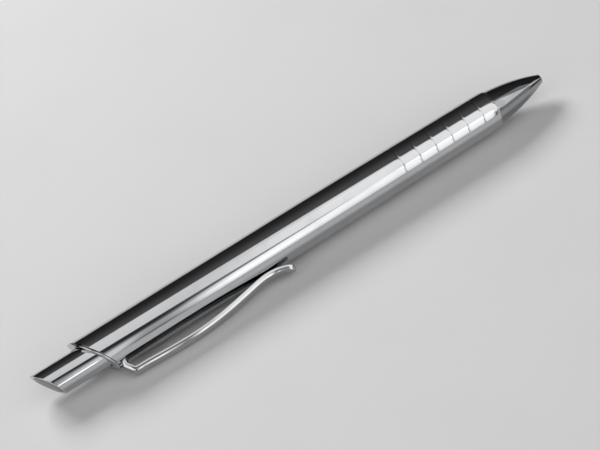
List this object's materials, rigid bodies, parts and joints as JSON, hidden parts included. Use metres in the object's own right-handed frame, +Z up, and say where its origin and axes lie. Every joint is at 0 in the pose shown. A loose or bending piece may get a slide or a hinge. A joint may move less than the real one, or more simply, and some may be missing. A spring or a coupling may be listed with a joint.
{
  "type": "pushbutton ballpoint pen",
  "caption": "Polished metal ballpoint pen with an oblique rear mouth, sliding pushbutton, bowed pocket clip, grooved grip end and a screw-off nose cone.",
  "frame": {"origin": "on the lengthwise flat facet under the barrel that the pen rests on, 50.6 mm in front of the middle of the oblique rear mouth", "axes": "+X along the pen towards its point, +Z up from the table, -Y the side that the clip is on"},
  "size_m": [0.142, 0.0151, 0.011],
  "materials": {
    "barrel_metal": "polished, with fine lengthwise wear",
    "bright_chrome": "mirror polished",
    "dark_chrome": "mirror polished, darker",
    "cap_metal": "satin",
    "brass": "turned",
    "tube_steel": "drawn",
    "spring_steel": "drawn wire",
    "pale_plastic": "moulded",
    "blue_plastic": "moulded",
    "dark_plastic": "moulded",
    "grease": "gel",
    "ink": "thick liquid",
    "seal_rubber": "moulded"
  },
  "bodies": {
    "barrel": {"barrel": "barrel_metal", "bezel_ring": "bright_chrome", "thread_insert": "brass", "cam_sleeve": "pale_plastic", "spring": "spring_steel"},
    "button": {"button_shell": "bright_chrome", "button_cap": "cap_metal", "button_core": "dark_plastic", "cam_pusher": "pale_plastic"},
    "refill": {"cam_rotor": "blue_plastic", "refill_cap": "dark_plastic", "refill_tube": "tube_steel", "ink_follower": "grease", "ink": "ink", "refill_shoulder": "brass", "refill_point": "brass", "ball": "tube_steel"},
    "clip": {"clip": "bright_chrome"},
    "nose": {"nose_cone": "dark_chrome", "o_ring": "seal_rubber"}
  },
  "joints": [
    {"name": "button_press", "type": "slide", "parent": "barrel", "child": "button", "axis": [1, 0, 0], "range_m": [0, 0.005], "stiffness_N_per_m": 300, "springref_m": -0.008},
    {"name": "refill_feed", "type": "slide", "parent": "barrel", "child": "refill", "axis": [1, 0, 0], "range_m": [0, 0.005], "deforming": ["spring"]},
    {"name": "clip_flex", "type": "hinge", "parent": "barrel", "child": "clip", "pos_m": [-0.04515, -0.00453, 0.00362], "axis": [0, 0.38, -0.925], "range_deg": [0, 3], "stiffness_Nm_per_rad": 2},
    {"name": "nose_draw", "type": "slide", "parent": "barrel", "child": "nose", "axis": [1, 0, 0], "range_m": [0, 0.012]}
  ],
  "couplings": [
    {"joint": "refill_feed", "follows": "button_press", "ratio": 1}
  ]
}
